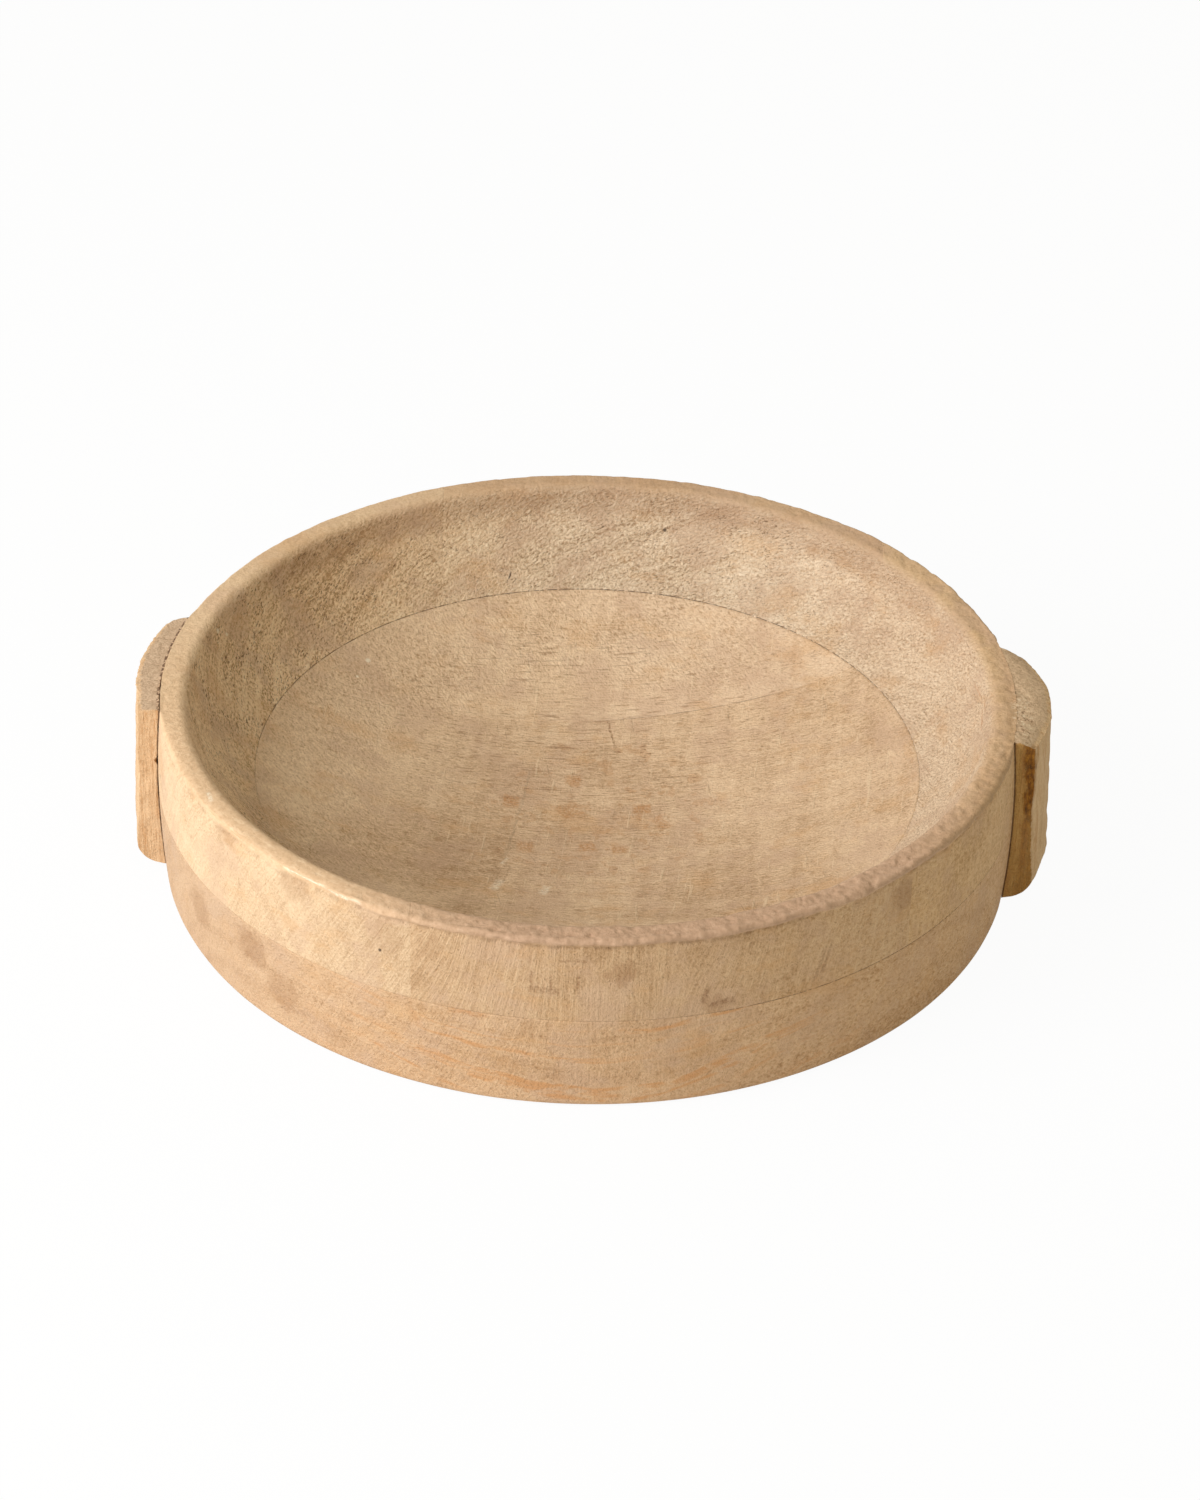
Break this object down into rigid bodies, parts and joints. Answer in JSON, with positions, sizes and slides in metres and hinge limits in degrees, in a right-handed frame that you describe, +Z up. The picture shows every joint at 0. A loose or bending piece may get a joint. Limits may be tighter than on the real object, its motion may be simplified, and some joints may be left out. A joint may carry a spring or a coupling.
{
  "type": "dough bowl",
  "caption": "Round shallow wooden dough bowl, turned from glued boards, with a dished floor, a flat rim and a plain block handle on each side.",
  "frame": {"origin": "centre of the flat underside, on the turning axis", "axes": "+Z up along the turning axis, +X towards the right handle, -Y towards the front"},
  "size_m": [0.3655, 0.34, 0.077],
  "materials": {
    "base_wood": "sanded, unoiled",
    "ring_wood": "sanded, unoiled",
    "ring_side_wood": "sanded, unoiled",
    "handle_wood": "rough sawn and sanded, unoiled",
    "dowel_wood": "smooth"
  },
  "bodies": {
    "root": {"base_front_board": "base_wood", "base_rear_board": "base_wood", "ring_left_board": "ring_side_wood", "ring_front_board": "ring_wood", "ring_right_board": "ring_side_wood", "ring_rear_board": "ring_wood", "left_handle": "handle_wood", "right_handle": "handle_wood", "left_handle_dowels": "dowel_wood", "right_handle_dowels": "dowel_wood"}
  },
  "joints": []
}
